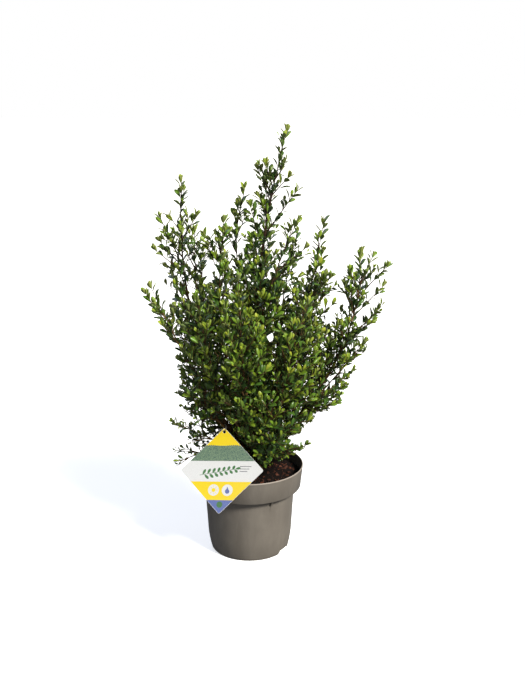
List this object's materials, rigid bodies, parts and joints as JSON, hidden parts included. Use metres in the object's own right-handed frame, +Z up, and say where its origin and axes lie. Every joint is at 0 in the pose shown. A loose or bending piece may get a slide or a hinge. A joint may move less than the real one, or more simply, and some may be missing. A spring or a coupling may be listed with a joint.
{
  "type": "potted holly shrub",
  "caption": "Upright small-leaved holly shrub with open leading shoots and a bushy middle, in a round nursery pot with a broad collar, compost and a square hang tag.",
  "frame": {"origin": "centre of the pot's flat underside", "axes": "+Z up the plant, -Y towards the side the tag faces, +X to that viewer's right"},
  "size_m": [0.4928, 0.4358, 0.88],
  "materials": {
    "pot_plastic": "moulded taupe-grey nursery pot plastic, satin",
    "compost": "moist dark compost with bark chips",
    "old_bark": "grey-brown holly bark",
    "leaf": "glossy green holly leaves and thin twigs",
    "tag_card": "printed plastic card, satin",
    "tag_ring": "pale plastic ring"
  },
  "bodies": {
    "root": {"bough_back": "old_bark", "bough_back_left": "old_bark", "bough_back_right": "old_bark", "bough_centre_left": "old_bark", "bough_centre_right": "old_bark", "bough_crown_leader": "old_bark", "bough_front": "old_bark", "bough_front_left": "old_bark", "bough_front_right": "old_bark", "bough_left_leader": "old_bark", "bough_left_low": "old_bark", "bough_left_mid": "old_bark", "bough_left_second": "old_bark", "bough_mid_left": "old_bark", "bough_right_inner": "old_bark", "bough_right_leader": "old_bark", "bough_right_low": "old_bark", "bough_right_outer": "old_bark", "mass_back": "leaf", "mass_back_left": "leaf", "mass_back_low": "leaf", "mass_back_right": "leaf", "mass_centre_left": "leaf", "mass_centre_right": "leaf", "mass_crown_leader": "leaf", "mass_front": "leaf", "mass_front_left": "leaf", "mass_front_low": "leaf", "mass_front_right": "leaf", "mass_left_bottom": "leaf", "mass_left_leader": "leaf", "mass_left_low": "leaf", "mass_left_mid": "leaf", "mass_left_rim": "leaf", "mass_left_second": "leaf", "mass_mid_left": "leaf", "mass_right_bottom": "leaf", "mass_right_inner": "leaf", "mass_right_leader": "leaf", "mass_right_low": "leaf", "mass_right_outer": "leaf", "mass_right_rim": "leaf", "pot": "pot_plastic", "soil": "compost", "tag": "tag_card", "tag_ring": "tag_ring", "trunk": "old_bark"}
  },
  "joints": []
}
